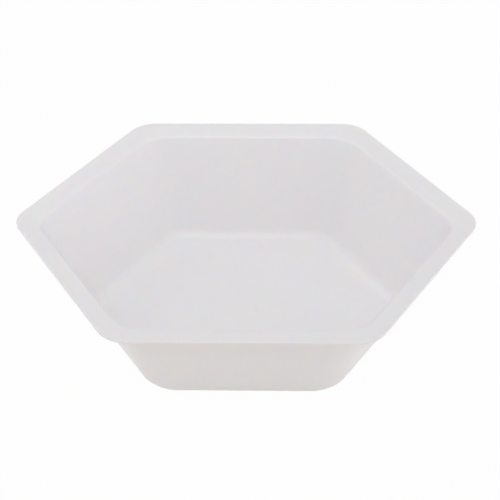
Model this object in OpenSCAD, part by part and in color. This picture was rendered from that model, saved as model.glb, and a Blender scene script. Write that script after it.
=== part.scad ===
// Hexagonal weighing boat: an open tray thermoformed from one thin plastic sheet.
// X runs along the length, tip to tip. The origin is at the middle of the underside.

/* [Overall size] */
// Length over the two rounded end tips
boat_length = 92; // [70:1:130]
// Width over the front and the back side of the rim
boat_width = 70; // [55:1:100]
// Height from the underside to the top of the rim's outer edge
boat_depth = 24.2; // [16:0.1:40]
// Angle between the two sides that meet at each end tip
tip_angle = 113.6; // [100:0.1:122]
// Thickness of the sheet
sheet = 0.4; // [0.3:0.05:0.6]

/* [Rim] */
// Width of the flange, from its outer edge to the line where the wall starts
flange_width = 4; // [3:0.1:8]
// How many degrees the flange rises towards its outer edge
flange_tilt = 13; // [0:0.5:16]
// Plan radius of the flange's outer corners beside the front and back sides
rim_side_r = 6.5; // [4:0.5:12]
// Plan radius of the flange's outer corners at the end tips
rim_tip_r = 5; // [3:0.5:12]
// Radius of the bend between the flange and the wall, on the face side
lip_r = 0.8; // [0.7:0.1:2.5]

/* [Walls and floor] */
// How far the front and back walls lean inwards between the mouth and the floor
side_run = 6.5; // [3:0.1:10]
// How far the four slanted walls lean inwards between the mouth and the floor
slant_run = 7.6; // [3:0.1:11]
// Plan radius where two walls meet at the mouth, beside the front and back sides
mouth_side_r = 9; // [4:0.5:14]
// Plan radius where two walls meet at the mouth, at the end tips
mouth_tip_r = 5; // [3:0.5:14]
// Plan radius of the floor's corners beside the front and back sides
floor_side_r = 7.5; // [3:0.5:12]
// Plan radius of the floor's corners at the end tips
floor_tip_r = 6; // [3:0.5:12]
// Radius of the bend between the wall and the floor, on the face side
foot_r = 3; // [1:0.1:5]

/* [Hidden] */

// Steps in each plan corner and in each bend of the section
corner_steps = 8;
lip_steps = 5;
foot_steps = 8;

// Plan: half the angle at a tip, and how far the outline turns at each kind of corner
tip_half = tip_angle / 2;
tip_turn = 180 - tip_angle;
side_turn = tip_half;

// Plan: the sharp hexagon that the rounded rim outline is cut from
half_width = boat_width / 2;
half_length = boat_length / 2 + rim_tip_r * (1 / cos(tip_turn / 2) - 1);

// Section through the front wall: the sharp points where the flange meets the wall and
// the wall meets the floor, each as [distance in from the rim's edge, height]
mouth = [flange_width, boat_depth - flange_width * tan(flange_tilt)];
foot = [flange_width + side_run, sheet];
wall_tilt = atan2(mouth[1] - foot[1], side_run);

// A face that is tilted by t degrees looks along this direction in the section
function facing(t) = [sin(t), cos(t)];

// Face side of the section, from the rim's edge to the floor: each entry is [point, tilt]
function bend(middle, r, from, to, steps) =
    [for (i = [0 : steps]) let (t = from + (to - from) * i / steps) [middle + r * facing(t), t]];
lip_middle = mouth - lip_r / cos((wall_tilt - flange_tilt) / 2) * facing((wall_tilt + flange_tilt) / 2);
foot_middle = foot + foot_r / cos(wall_tilt / 2) * facing(wall_tilt / 2);
face_side = concat(
    bend(lip_middle, lip_r, flange_tilt, wall_tilt, lip_steps),
    bend(foot_middle, -foot_r, wall_tilt, 0, foot_steps));

// How much further in the slanted walls stand than the front wall does at the same height
function slant_lead(inset) = lookup(inset, [[mouth[0], 0], [foot[0], slant_run - side_run]]);

// Plan radii of the corners at a given distance in from the rim's edge
function side_r(inset) =
    lookup(inset, [[0, rim_side_r], [mouth[0], mouth_side_r], [foot[0], floor_side_r]]);
function tip_r(inset) =
    lookup(inset, [[0, rim_tip_r], [mouth[0], mouth_tip_r], [foot[0], floor_tip_r]]);

// One rounded corner of an outline, from its sharp point
function corner(x, y, r, aim, turn) =
    [for (i = [0 : corner_steps]) let (t = aim + turn * (i / corner_steps - 0.5))
        [x, y] - r / cos(turn / 2) * [cos(aim), sin(aim)] + r * [cos(t), sin(t)]];

// Rounded hexagon, counter-clockwise: its front and back sides lie one distance in from
// the rim's edge and its slanted sides another
function outline(side_in, slant_in, r_side, r_tip) =
    let (
        x_tip = half_length - slant_in / cos(tip_turn / 2),
        y_side = half_width - side_in,
        x_side = x_tip - y_side / tan(tip_half),
        aim_side = 90 - side_turn / 2
    )
    concat(
        corner(x_tip, 0, r_tip, 0, tip_turn),
        corner(x_side, y_side, r_side, aim_side, side_turn),
        corner(-x_side, y_side, r_side, 180 - aim_side, side_turn),
        corner(-x_tip, 0, r_tip, 180, tip_turn),
        corner(-x_side, -y_side, r_side, 180 + aim_side, side_turn),
        corner(x_side, -y_side, r_side, 360 - aim_side, side_turn));

function at_height(points, z) = [for (p = points) [p[0], p[1], z]];

// Ring of the sheet under a point of the face side: depth 0 is the face, depth sheet the back
function ring(inset, z, tilt, depth) =
    let (out = depth * sin(tilt), side_in = inset - out, slant_in = side_in + slant_lead(inset))
    at_height(
        outline(side_in, slant_in, side_r(inset) + out, tip_r(inset) + out),
        z - depth * cos(tilt));
function rim_ring(depth) = ring(0, boat_depth - depth / cos(flange_tilt), 0, 0);
function skin(depth) = [for (s = face_side) ring(s[0][0], s[0][1], s[1], depth)];

function reversed(list) = [for (i = [len(list) - 1 : -1 : 0]) list[i]];

module boat() {
    rings = concat(reversed(skin(0)), [rim_ring(0), rim_ring(sheet)], skin(sheet));
    count = len(rings[0]);
    last = (len(rings) - 1) * count;
    color("whitesmoke")
    polyhedron(
        points = [for (r = rings, p = r) p],
        faces = concat(
            [reversed([for (j = [0 : count - 1]) j])],
            [for (i = [0 : len(rings) - 2], j = [0 : count - 1]) let (k = (j + 1) % count)
                [i * count + j, i * count + k, (i + 1) * count + k, (i + 1) * count + j]],
            [[for (j = [0 : count - 1]) last + j]]));
}

boat();
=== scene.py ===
import math
import bpy
from mathutils import Matrix, Vector


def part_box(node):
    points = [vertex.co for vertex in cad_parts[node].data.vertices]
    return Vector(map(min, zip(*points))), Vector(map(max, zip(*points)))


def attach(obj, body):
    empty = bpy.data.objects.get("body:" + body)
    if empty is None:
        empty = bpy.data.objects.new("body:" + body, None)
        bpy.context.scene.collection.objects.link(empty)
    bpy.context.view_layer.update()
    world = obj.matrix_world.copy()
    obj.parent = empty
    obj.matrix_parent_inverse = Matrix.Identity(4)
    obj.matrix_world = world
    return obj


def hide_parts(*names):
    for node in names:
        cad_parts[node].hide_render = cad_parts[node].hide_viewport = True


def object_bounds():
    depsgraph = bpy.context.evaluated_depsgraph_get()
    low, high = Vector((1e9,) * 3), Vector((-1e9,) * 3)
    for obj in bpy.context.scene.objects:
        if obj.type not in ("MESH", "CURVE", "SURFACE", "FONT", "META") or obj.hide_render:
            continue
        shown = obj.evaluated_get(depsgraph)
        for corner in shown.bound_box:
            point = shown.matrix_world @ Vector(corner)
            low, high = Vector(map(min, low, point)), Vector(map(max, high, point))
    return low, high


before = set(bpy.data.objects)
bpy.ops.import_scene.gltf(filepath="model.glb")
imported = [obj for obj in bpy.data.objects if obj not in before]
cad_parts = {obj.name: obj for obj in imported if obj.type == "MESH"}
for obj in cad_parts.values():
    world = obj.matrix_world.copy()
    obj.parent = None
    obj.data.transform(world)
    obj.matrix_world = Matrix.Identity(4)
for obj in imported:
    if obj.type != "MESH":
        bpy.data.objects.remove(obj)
cadLow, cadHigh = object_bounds()
print("frame loaded:", ", ".join(sorted(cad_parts)))

mm = 0.001


# Node trees: a Wire is one output of a node, and sums written on wires become Math nodes.
class Wire:
    def __init__(self, graph, socket):
        self.graph = graph
        self.socket = socket

    def __add__(self, other):
        return self.graph.math("ADD", self, other)

    def __radd__(self, other):
        return self.graph.math("ADD", other, self)

    def __sub__(self, other):
        return self.graph.math("SUBTRACT", self, other)

    def __rsub__(self, other):
        return self.graph.math("SUBTRACT", other, self)

    def __mul__(self, other):
        return self.graph.math("MULTIPLY", self, other)

    def __rmul__(self, other):
        return self.graph.math("MULTIPLY", other, self)

    def __truediv__(self, other):
        return self.graph.math("DIVIDE", self, other)

    def __rtruediv__(self, other):
        return self.graph.math("DIVIDE", other, self)

    def __neg__(self):
        return self.graph.math("MULTIPLY", self, -1.0)

    def __gt__(self, other):
        return self.graph.math("GREATER_THAN", self, other)

    def __abs__(self):
        return self.graph.math("ABSOLUTE", self)

    def sin(self):
        return self.graph.math("SINE", self)

    def cos(self):
        return self.graph.math("COSINE", self)

    def tan(self):
        return self.graph.math("TANGENT", self)

    def sign(self):
        return self.graph.math("SIGN", self)

    def floor(self):
        return self.graph.math("FLOOR", self)

    def clamped(self):
        return self.graph.math("ADD", self, 0.0, clamp=True)


class Graph:
    def __init__(self, nodeTree):
        self.nodeTree = nodeTree

    def node(self, kind, settings=(), sockets=()):
        made = self.nodeTree.nodes.new(kind)
        for name, value in dict(settings).items():
            setattr(made, name, value)
        for key, value in dict(sockets).items():
            if isinstance(value, Wire):
                self.nodeTree.links.new(value.socket, made.inputs[key])
            else:
                made.inputs[key].default_value = value
        return made

    def wire(self, kind, settings=(), sockets=(), out=0):
        return Wire(self, self.node(kind, settings, sockets).outputs[out])

    def math(self, operation, *values, clamp=False):
        settings = {"operation": operation, "use_clamp": clamp}
        return self.wire("ShaderNodeMath", settings, dict(enumerate(values)))

    def vector(self, x, y, z):
        return self.wire("ShaderNodeCombineXYZ", (), {0: x, 1: y, 2: z})

    def parts(self, vector):
        split = self.node("ShaderNodeSeparateXYZ", (), {0: vector})
        return [Wire(self, out) for out in split.outputs]

    def mixColour(self, factor, first, second):
        return self.wire("ShaderNodeMix", {"data_type": "RGBA"}, {0: factor, 6: first, 7: second}, out=2)


# The boat: one sheet, swept round a rounded hexagon. Lengths in metres, angles in degrees.
boat = {
    "tip angle": 113.6,
    "flange width": 4.0 * mm,
    "flange tilt": 13.0,
    "lip bend": 0.8 * mm,
    "side run": 6.5 * mm,  # how far the front and back walls lean inwards
    "slant run": 7.6 * mm,  # the same of the four slanted walls
    "foot bend": 3.0 * mm,
    "rim tip corner": 5.0 * mm,  # plan radii
    "rim side corner": 6.5 * mm,
    "mouth tip corner": 5.0 * mm,
    "mouth side corner": 9.0 * mm,
    "floor tip corner": 6.0 * mm,
    "floor side corner": 7.5 * mm,
    "sheet": 0.4 * mm,
    "wave": 0.06 * mm,  # how far the formed sheet strays from true
    "waves per metre": 60.0,
    "calm under rim": 2.5 * mm,  # the wave grows over these heights
    "calm over floor": 3.0 * mm,
    "sharp edge": 45.0,  # edges that turn by more than this stay sharp
}
# The boat's mesh: how many faces each stretch of the section and of a quarter of the plan gets.
boatMesh = {
    "rows": {"flange": 5, "lip": 8, "wall": 16, "foot": 12, "floor": 12},
    "columns": {"tip": 10, "slant": 22, "corner": 16, "side": 14},
}


def steps(parameter, counts):
    # how far along each stretch the parameter is, from 0 to 1
    stretches = []
    start = 0
    for count in counts:
        stretches.append(((parameter - start) / count).clamped())
        start += count
    return stretches


def boatTree(material):
    tree = bpy.data.node_groups.new("formedBoat", "GeometryNodeTree")
    tree.is_modifier = True
    sizes = {"length": 0.0, "width": 0.0, "depth": 0.0, **boat}
    for name in sizes:
        tree.interface.new_socket(name=name, in_out="INPUT", socket_type="NodeSocketFloat")
    tree.interface.new_socket(name="boat", in_out="OUTPUT", socket_type="NodeSocketGeometry")
    g = Graph(tree)
    entry = g.node("NodeGroupInput")
    size = {name: Wire(g, entry.outputs[name]) for name in sizes}
    rad = math.radians(1)
    tilt = size["flange tilt"] * rad
    tipHalf = size["tip angle"] * (rad / 2)
    tipTurn = math.pi / 2 - tipHalf  # half the turn at a tip
    sheet = size["sheet"]
    lip = size["lip bend"]
    foot = size["foot bend"]

    # plan: the sharp hexagon behind the rounded rim
    halfWidth = size["width"] / 2
    halfLength = size["length"] / 2 + size["rim tip corner"] * (1 / tipTurn.cos() - 1)

    # section: where flange meets wall and wall meets floor, and the middles of the two bends
    mouthX = size["flange width"]
    mouthZ = size["depth"] - mouthX * tilt.tan()
    footX = mouthX + size["side run"]
    wallTilt = g.math("ARCTAN2", mouthZ - sheet, size["side run"])
    lipHalf = (wallTilt - tilt) / 2
    lipAim = (wallTilt + tilt) / 2
    lipX = mouthX - lip / lipHalf.cos() * lipAim.sin()
    lipZ = mouthZ - lip / lipHalf.cos() * lipAim.cos()
    footHalf = wallTilt / 2
    bendX = footX + foot * footHalf.tan()
    bendZ = sheet + foot
    flat = lipX + lip * tilt.sin()

    # a quarter of the boat as a grid: rows run from the floor over the rim to the underside
    rows = boatMesh["rows"]
    columns = boatMesh["columns"]
    skin = sum(rows.values())
    rowCount = 2 * skin + 2
    columnCount = sum(columns.values()) + 1
    grid = g.node("GeometryNodeMeshGrid", (), {"Vertices X": columnCount, "Vertices Y": rowCount})
    index = g.wire("GeometryNodeInputIndex")
    column = (index / rowCount + 0.5 / rowCount).floor()
    row = index - column * rowCount
    under = row > skin + 0.5
    inwards = abs(row - (skin + 0.5)) - 0.5
    onFlange, onLip, onWall, onFoot, onFloor = steps(inwards, rows.values())
    lean = tilt + (wallTilt - tilt) * onLip - wallTilt * onFoot
    reach = lip - (lip + foot) * onWall
    middleX = lipX - flat * (1 - onFlange) + (bendX - lipX) * onWall
    middleZ = lipZ + flat * tilt.tan() * (1 - onFlange) + (bendZ - lipZ) * onWall
    faceInset = middleX + reach * lean.sin()
    faceZ = middleZ + reach * lean.cos()

    # plan: corner radii at this distance in, and how much further in the slanted walls stand
    toMouth = (faceInset / mouthX).clamped()
    toFloor = ((faceInset - mouthX) / size["side run"]).clamped()
    slantLead = (size["slant run"] - size["side run"]) * toFloor

    def cornerRadius(kind):
        atRim, atMouth, atFloor = (size[f"{level} {kind} corner"] for level in ("rim", "mouth", "floor"))
        return atRim + (atMouth - atRim) * toMouth + (atFloor - atMouth) * toFloor

    onTip, onSlant, onCorner, onSide = steps(column, columns.values())
    aim = tipTurn * onTip + tipHalf * onCorner

    def outline(out):
        sideIn = g.math("MAXIMUM", faceInset - out, 0.0)
        slantIn = sideIn + slantLead
        tipR = cornerRadius("tip") + out
        sideR = cornerRadius("side") + out
        tipX = halfLength - (slantIn + tipR) / tipTurn.cos()
        sharpY = halfWidth - sideIn
        sharpX = halfLength - slantIn / tipTurn.cos() - sharpY / tipHalf.tan()
        toSharp = sideR / (tipHalf / 2).cos()
        sideAim = math.pi / 2 - tipHalf / 2
        sideX = sharpX - toSharp * sideAim.cos()
        sideY = sharpY - toSharp * sideAim.sin()
        radius = tipR + (sideR - tipR) * onSlant
        x = (tipX + (sideX - tipX) * onSlant) * (1 - onSide) + radius * aim.cos()
        y = sideY * onSlant + radius * aim.sin()
        return x * (1 - onFloor), y * (1 - onFloor)

    depth = sheet * under
    faceX, faceY = outline(0.0)
    x, y = outline(depth * lean.sin())
    z = faceZ - depth * lean.cos()
    outwards = g.wire("GeometryNodeFlipFaces", (), {0: Wire(g, grid.outputs["Mesh"])})
    placed = g.wire("GeometryNodeSetPosition", (), {"Geometry": outwards, "Position": g.vector(x, y, z)})

    def store(geometry, name, vector):
        settings = {"data_type": "FLOAT_VECTOR", "domain": "POINT"}
        return g.wire("GeometryNodeStoreNamedAttribute", settings, {
            "Geometry": geometry, "Name": name, "Value": vector})

    def stored(name):
        return g.wire("GeometryNodeInputNamedAttribute", {"data_type": "FLOAT_VECTOR"}, {"Name": name})

    placed = store(placed, "facePoint", g.vector(faceX, faceY, faceZ))
    sideways = -lean.sin()
    faceNormal = g.vector(sideways * aim.cos(), sideways * aim.sin(), lean.cos())
    placed = store(placed, "faceNormal", faceNormal)

    # the other three quarters are its mirror images, welded along the seams
    def withMirror(geometry, scale):
        image = g.wire("GeometryNodeTransform", (), {"Geometry": geometry, "Scale": scale})
        image = g.wire("GeometryNodeFlipFaces", (), {0: image})
        join = g.node("GeometryNodeJoinGeometry")
        for part in (geometry, image):
            tree.links.new(part.socket, join.inputs[0])
        return Wire(g, join.outputs[0])

    whole = withMirror(withMirror(placed, (-1, 1, 1)), (1, -1, 1))
    whole = g.wire("GeometryNodeMergeByDistance", (), {"Geometry": whole, "Distance": 0.002 * mm})

    # the wave of a thin formed sheet, the same on both skins, none at the rim and the floor's middle
    px, py, pz = g.parts(g.wire("GeometryNodeInputPosition"))
    fx, fy, fz = g.parts(stored("facePoint"))
    nx, ny, nz = g.parts(stored("faceNormal"))
    facePoint = g.vector(fx * px.sign(), fy * py.sign(), fz)
    faceNormal = g.vector(nx * px.sign(), ny * py.sign(), nz)
    noise = g.wire("ShaderNodeTexNoise", {"noise_dimensions": "3D"}, {
        "Vector": facePoint, "Scale": size["waves per metre"], "Detail": 1.0, "Roughness": 0.4})
    belowRim = ((size["depth"] - fz) / size["calm under rim"]).clamped()
    aboveFloor = ((fz - sheet) / size["calm over floor"]).clamped()
    push = (noise - 0.5) * 2 * size["wave"] * belowRim * aboveFloor
    shift = g.wire("ShaderNodeVectorMath", {"operation": "SCALE"}, {"Vector": faceNormal, "Scale": push})
    whole = g.wire("GeometryNodeSetPosition", (), {"Geometry": whole, "Offset": shift})
    for name in ("facePoint", "faceNormal"):
        whole = g.wire("GeometryNodeRemoveAttribute", (), {"Geometry": whole, "Name": name})

    # soft everywhere but along the cut edge of the flange
    whole = g.wire("GeometryNodeSetShadeSmooth", {"domain": "FACE"}, {
        "Geometry": whole, "Shade Smooth": True})
    crease = g.wire("GeometryNodeInputMeshEdgeAngle") > size["sharp edge"] * rad
    whole = g.wire("GeometryNodeSetShadeSmooth", {"domain": "EDGE"}, {
        "Geometry": whole, "Selection": crease, "Shade Smooth": False})
    whole = g.wire("GeometryNodeRealizeInstances", (), {0: whole})
    whole = g.wire("GeometryNodeSetMaterial", (), {"Geometry": whole, "Material": material})
    result = g.node("NodeGroupOutput", (), {0: whole})
    result.is_active_output = True
    return tree


def makeBoat(material):
    low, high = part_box("boat")
    span = high - low
    sizes = {"length": span.x, "width": span.y, "depth": span.z, **boat}
    tree = boatTree(material)
    blank = bpy.data.objects.new("boatBlank", bpy.data.meshes.new("boatBlank"))
    bpy.context.scene.collection.objects.link(blank)
    forming = blank.modifiers.new("forming", "NODES")
    forming.node_group = tree
    for item in tree.interface.items_tree:
        if item.in_out == "INPUT":
            forming[item.identifier] = sizes[item.name]
    bpy.context.view_layer.update()
    formed = blank.evaluated_get(bpy.context.evaluated_depsgraph_get())
    mesh = bpy.data.meshes.new_from_object(formed)
    mesh.name = "boat_sheet"
    piece = bpy.data.objects.new("boat_sheet", mesh)
    bpy.context.scene.collection.objects.link(piece)
    bpy.data.objects.remove(blank, do_unlink=True)
    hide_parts("boat")
    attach(piece, "root")
    print("boat formed:", len(mesh.polygons), "faces")
    return piece


# White polystyrene: satin, a touch cloudy; some light comes through, more of the warm part of it.
sheetFinish = {
    "colour": (0.952, 0.936, 0.944, 1),
    "cloud": (0.942, 0.926, 0.934, 1),
    "cloudsPerMetre": 90.0,
    "roughness": 0.3,
    "roughnessSpread": 0.12,
    "grainsPerMetre": 2500.0,
    "grain": {"Strength": 0.08, "Distance": 0.05 * mm},
    "ior": 1.5,
    "scatter": 0.15 * mm,  # how far light wanders inside the sheet
    "scatterByColour": (1.0, 0.8, 0.62),
}


def sheetMaterial():
    material = bpy.data.materials.new("whiteSheet")
    material.use_nodes = True
    material.node_tree.nodes.clear()
    g = Graph(material.node_tree)
    place = g.wire("ShaderNodeTexCoord", out=3)
    cloud = g.wire("ShaderNodeTexNoise", (), {
        "Vector": place, "Scale": sheetFinish["cloudsPerMetre"], "Detail": 3.0, "Roughness": 0.5})
    grain = g.wire("ShaderNodeTexNoise", (), {
        "Vector": place, "Scale": sheetFinish["grainsPerMetre"], "Detail": 2.0, "Roughness": 0.6})
    colour = g.mixColour(((cloud - 0.35) * 3.0).clamped(), sheetFinish["cloud"], sheetFinish["colour"])
    rough = sheetFinish["roughness"] + (cloud - 0.5) * sheetFinish["roughnessSpread"]
    bump = g.wire("ShaderNodeBump", (), {**sheetFinish["grain"], "Height": grain})
    shader = g.wire("ShaderNodeBsdfPrincipled", {"subsurface_method": "RANDOM_WALK"}, {
        "Base Color": colour, "Roughness": rough, "Normal": bump, "IOR": sheetFinish["ior"],
        "Subsurface Weight": 1.0, "Subsurface Radius": sheetFinish["scatterByColour"],
        "Subsurface Scale": sheetFinish["scatter"]})
    g.node("ShaderNodeOutputMaterial", (), {"Surface": shader})
    return material


# The studio: a pale floor that the camera sees as white, a dome that is brighter in front and at
# the sides, a softbox above, and a lamp behind on the left that draws the bends. Azimuth 0 is in
# front of the boat and grows towards its right-hand tip.
studio = {
    "dome": {"all": 0.25, "front": 0.37, "left": 0.4, "right": 0.73, "colour": (1, 0.98, 1.012, 1)},
    "floor": (0.89, 0.852, 0.8, 1),
    "floorWhite": 0.97,  # how much of what the camera sees of the floor is plain white
    "floorHalf": 3.0,  # half its side
    "floorDrop": 0.1 * mm,  # so that it doesn't touch the underside
    "lamps": {
        "softbox": {"azimuth": 350, "elevation": 73, "distance": 0.9, "size": 0.72, "power": 1.73},
        "left": {"azimuth": 238, "elevation": 42, "distance": 0.9, "size": 0.55, "power": 0.72},
    },
}


def seenDirectly(g):
    # 1 for what the camera sees, straight on or in a gloss, 0 for light that falls on the boat
    path = g.node("ShaderNodeLightPath")
    camera, glossy, through = (
        Wire(g, path.outputs[name]) for name in ("Is Camera Ray", "Is Glossy Ray", "Is Transmission Ray"))
    return (camera + glossy + through).clamped()


def makeFloor():
    material = bpy.data.materials.new("paleFloor")
    material.use_nodes = True
    material.node_tree.nodes.clear()
    g = Graph(material.node_tree)
    matt = g.wire("ShaderNodeBsdfDiffuse", (), {"Color": studio["floor"]})
    white = g.wire("ShaderNodeEmission", (), {"Color": (1, 1, 1, 1), "Strength": 1.0})
    whiteShare = seenDirectly(g) * studio["floorWhite"]
    shader = g.wire("ShaderNodeMixShader", (), {0: whiteShare, 1: matt, 2: white})
    g.node("ShaderNodeOutputMaterial", (), {"Surface": shader})
    half = studio["floorHalf"]
    level = -studio["floorDrop"]
    mesh = bpy.data.meshes.new("floor")
    corners = [(-half, -half, level), (half, -half, level), (half, half, level), (-half, half, level)]
    mesh.from_pydata(corners, [], [(0, 1, 2, 3)])
    mesh.materials.append(material)
    floor = bpy.data.objects.new("floor", mesh)
    bpy.context.scene.collection.objects.link(floor)


def towards(azimuth, elevation):
    a = math.radians(azimuth)
    e = math.radians(elevation)
    return Vector((math.sin(a) * math.cos(e), -math.cos(a) * math.cos(e), math.sin(e)))


def makeDome():
    world = bpy.data.worlds.new("dome")
    world.use_nodes = True
    world.node_tree.nodes.clear()
    g = Graph(world.node_tree)
    x, y, z = g.parts(g.wire("ShaderNodeTexCoord"))
    dome = studio["dome"]
    glow = dome["front"] * (-y).clamped() + dome["left"] * (-x).clamped() + dome["right"] * x.clamped()
    light = dome["all"] + glow
    white = seenDirectly(g)
    colour = g.mixColour(white, dome["colour"], (1, 1, 1, 1))
    strength = light + white * (1.0 - light)
    shade = g.wire("ShaderNodeBackground", (), {"Color": colour, "Strength": strength})
    g.node("ShaderNodeOutputWorld", (), {"Surface": shade})
    bpy.context.scene.world = world


def makeLamps():
    for name, lamp in studio["lamps"].items():
        light = bpy.data.lights.new(name, "AREA")
        light.shape = "DISK"
        light.size = lamp["size"]
        light.energy = lamp["power"]
        placed = bpy.data.objects.new(name, light)
        bpy.context.scene.collection.objects.link(placed)
        out = towards(lamp["azimuth"], lamp["elevation"])
        placed.location = out * lamp["distance"]
        placed.rotation_euler = out.to_track_quat("Z", "Y").to_euler()


# The camera: focal length in millimetres, angles in degrees.
view = {
    "lens": 84.12,
    "sensor": 36.0,
    "distance": 234.1 * mm,
    "azimuth": 1.5,
    "elevation": 39.6,
    "roll": -0.726,
    "aimRight": 0.929 * mm,  # where it looks, from the middle of the mouth
    "aimUp": -5.907 * mm,
}


def makeCamera():
    back = towards(view["azimuth"], view["elevation"])
    level = Vector((0, 0, 1)).cross(back).normalized()
    upright = back.cross(level)
    roll = math.radians(view["roll"])
    right = level * math.cos(roll) + upright * math.sin(roll)
    up = upright * math.cos(roll) - level * math.sin(roll)
    mouth = Vector((0, 0, cadHigh.z))
    place = mouth + right * view["aimRight"] + up * view["aimUp"] + back * view["distance"]
    data = bpy.data.cameras.new("camera")
    data.sensor_width = view["sensor"]
    data.lens = view["lens"]
    data.clip_start = 10 * mm
    camera = bpy.data.objects.new("camera", data)
    bpy.context.scene.collection.objects.link(camera)
    camera.matrix_world = Matrix.Translation(place) @ Matrix((right, up, back)).transposed().to_4x4()
    bpy.context.scene.camera = camera


makeBoat(sheetMaterial())
makeFloor()
makeDome()
makeLamps()
makeCamera()
bpy.context.scene.view_settings.view_transform = "Standard"
print("studio ready")
